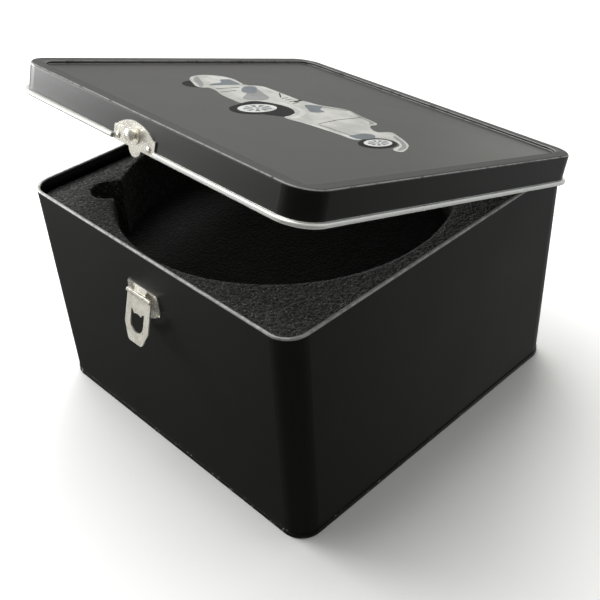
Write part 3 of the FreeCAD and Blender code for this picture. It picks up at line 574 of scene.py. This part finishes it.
lights = [
    smooth_loop([(-31, -1.4), (-20, -0.4), (-9, 0.2), (-10, -1.4), (-20, -2.2), (-30, -3.4)]),
    smooth_loop([(-4, -17), (4, -14.5), (11, -17), (17, -25), (20.5, -33), (21.5, -31),
                 (18.5, -22), (12, -14), (4, -11.8), (-4, -14)]),
    smooth_loop([(-54, -12), (-52, -10), (-49, -11), (-50, -19), (-54, -22), (-55.5, -17)]),
    smooth_loop([(21, -33.6), (32, -30), (44, -26.6), (54, -24.2), (54, -25.6), (44, -28),
                 (31, -31.6)])]
lines = [
    strip((-6.6, 1.6), (-4.2, -5.2), 1.5), strip((26, 12), (27.4, -7), 0.45),
    strip((-20, -1), (-13, -7), 0.7), strip((27.4, -7), (31, -24), 0.45),
    strip((14, 15), (5.6, 4.5), 0.7), strip((-27.5, -25), (-25.5, -37), 0.5),
    strip((-33, -18), (-31.5, -35), 0.5)]
lines += [strip((x, -4.0 - 0.10 * x), (x + 1.2, -9.5 - 0.10 * x), 0.5)
          for x in range(-12, -1, 3)]
hollows = [
    smooth_loop([(-8.6, -31), (-5, -23), (3, -18.2), (10, -20), (15, -27), (17.4, -34),
                 (12.5, -43), (9, -54), (1, -55), (-4.5, -44)]),
    oval(62.8, -17.6, 6.1, 11.9, 5)]
wheels = [oval(*middle, *shape) for middle, *shape in (FRONT_WHEEL, REAR_WHEEL)]
gaps = []
for middle, wide, tall, lean in (FRONT_WHEEL, REAR_WHEEL):
    gaps += [wedge(middle, wide, tall, lean, 360 / SPOKES * k + SPOKE_TURN,
                   GAP_HALF, GAP_NEAR, GAP_FAR) for k in range(SPOKES)]
    gaps.append(oval(*middle, HUB * wide, HUB * tall, lean, 12))

for name, shapes, level, ink in (
        ("picture_tyres", tyres, 0.02, soot),
        ("picture_body", [far_fender, front, hull], 0.04, silver),
        ("picture_shade", shadows, 0.055, shade),
        ("picture_glass", glass, 0.06, slate),
        ("picture_light", lights, 0.065, pale),
        ("picture_lines", lines, 0.07, soot),
        ("picture_hollows", hollows, 0.075, soot),
        ("picture_wheels", wheels, 0.085, pale),
        ("picture_spokes", gaps, 0.095, slate)):
    printed(name, shapes, level, ink)

# ---------------------------------------------------------------- floor and wall
FLOOR_HALF = 6.0
FLOOR_DROP = 0.0002
WALL_RADIUS = 5.5

floor_mesh = bmesh.new()
bmesh.ops.create_grid(floor_mesh, x_segments=4, y_segments=4, size=FLOOR_HALF)
floor = new_object("studio_floor", to_mesh_data("studio_floor", floor_mesh))
floor.location.z = -FLOOR_DROP
paper = Graph("white_paper")
paper.set(Base_Color=paper.mix(paper.noise(paper.object_point(), 3.0),
                               (0.89, 0.89, 0.89), (0.92, 0.92, 0.92)),
          Roughness=0.9, Specular_IOR_Level=0.1)
floor.data.materials.append(paper.material)
floor.visible_glossy = False

# A pale wall all round, for the low views. Only the camera sees it, so it neither lights the tin
# nor shows in it.
wall_mesh = bmesh.new()
bmesh.ops.create_uvsphere(wall_mesh, u_segments=64, v_segments=32, radius=WALL_RADIUS)
wall = new_object("studio_wall", to_mesh_data("studio_wall", wall_mesh))
wall.data.shade_smooth()
card = Graph("pale_wall")
card.set(Base_Color=(0, 0, 0, 1), Roughness=1.0, Specular_IOR_Level=0.0, Emission_Strength=1.0)
card.set(Emission_Color=card.mix(card.ramp(card.split(card.object_point())[2], 0.0, 4.0),
                                 (0.66, 0.66, 0.66), (0.82, 0.82, 0.82)))
wall.data.materials.append(card.material)
wall.visible_diffuse = wall.visible_glossy = wall.visible_transmission = False
wall.visible_volume_scatter = wall.visible_shadow = False

# ---------------------------------------------------------------- surroundings and lights
# How bright the room is in each direction.
FRONT_LOW, FRONT_HIGH = 0.05, 0.30
BACK_LOW, BACK_HIGH = 0.60, 0.85
FLOOR_BASE, FLOOR_BACK, FLOOR_LATCH, STREAK = 0.055, 0.36, 0.45, 0.8
BACK_LEFT = (-0.60, 0.80, 0.0)
STRAIGHT_BACK = (0, 1, 0)
BELOW_LATCH = (-0.69, -0.66, -0.29)
STREAK_AT = (-0.40, 0.915, -0.06)
WINDOW_SIDE = (0.35, 0.94, 0.0)
WARM_WHITE, COOL_WHITE = (1.0, 1.0, 0.955), (0.90, 0.96, 1.0)


class Surroundings(Graph):
    """The pale room that the lacquer reflects, as a function of direction alone."""

    def __init__(self, name):
        world = bpy.data.worlds.new(name)
        bpy.context.scene.world = world
        self.start(world, "Background")
        self.way = self.add("TexCoord").outputs["Generated"]

    def toward(self, direction, low, high):
        """0 away from a direction, 1 at it; low and high are cosines."""
        dot = self.vector_math("DOT_PRODUCT", self.way, Vector(direction).normalized())
        return self.ramp(dot["Value"], low, high)


room = Surroundings("studio")
height = room.split(room.way)[2]
high_part = room.blend(room.toward(BACK_LEFT, -0.45, 0.45),
                       room.blend(room.ramp(height, 0.0, 0.9), FRONT_LOW, FRONT_HIGH),
                       room.blend(room.ramp(height, 0.05, 0.7), BACK_LOW, BACK_HIGH))
low_part = room.times(room.toward(STRAIGHT_BACK, 0.40, 0.85), FLOOR_BACK)
low_part = room.plus(low_part, FLOOR_BASE)
low_part = room.plus(low_part, room.times(room.toward(BELOW_LATCH, 0.93, 0.99), FLOOR_LATCH))
low_part = room.blend(room.toward(BACK_LEFT, 0.60, 0.85), low_part, BACK_LOW)
level = room.blend(room.ramp(height, -0.10, 0.06), low_part, high_part)
level = room.plus(level, room.times(room.toward(STREAK_AT, 0.985, 0.998), STREAK))
tint = room.mix(room.toward(WINDOW_SIDE, 0.80, 0.98), WARM_WHITE, COOL_WHITE)
room.set(Color=tint, Strength=level)


def softbox(name, place, aim, size, watts, colour):
    data = bpy.data.lights.new(name, "AREA")
    data.shape = "RECTANGLE"
    data.size, data.size_y = size
    data.energy = watts
    data.color = colour
    lamp = new_object(name, data)
    lamp.location = place
    lamp.visible_camera = False
    lamp.rotation_euler = (Vector(aim) - Vector(place)).to_track_quat("-Z", "Y").to_euler()


softbox("back_left", (-1.0, 1.3, 1.35), (0, 0, 0.12), (1.0, 0.7), 9.0, (1.0, 0.99, 0.96))
softbox("left", (-1.40, -0.50, 0.26), (0, 0, 0.15), (0.75, 0.40), 19.0, (1, 1, 1))
softbox("overhead", (-0.62, 0.10, 1.7), (0, 0, 0.1), (1.3, 1.3), 28.0, (1, 1, 1))

# ---------------------------------------------------------------- camera
VIEW_AZIMUTH, VIEW_ELEVATION, VIEW_ROLL = (math.radians(a) for a in (47.52, 36.77, -3.34))
CAMERA_AT = (0.32072, -0.29664, 0.36902)
SENSOR_WIDTH = 36.0
LENS = 56.26
CLIP_START = 0.01

cam_data = bpy.data.cameras.new("camera")
cam_data.sensor_width = SENSOR_WIDTH
cam_data.lens = LENS
cam_data.clip_start = CLIP_START
camera = new_object("camera", cam_data)
back = Vector((math.sin(VIEW_AZIMUTH) * math.cos(VIEW_ELEVATION),
               -math.cos(VIEW_AZIMUTH) * math.cos(VIEW_ELEVATION), math.sin(VIEW_ELEVATION)))
camera.rotation_mode = "QUATERNION"
camera.rotation_quaternion = ((-back).to_track_quat("-Z", "Y")
                              @ Matrix.Rotation(VIEW_ROLL, 3, "Z").to_quaternion())
camera.location = CAMERA_AT
bpy.context.scene.camera = camera
bpy.context.scene.view_settings.view_transform = "Standard"
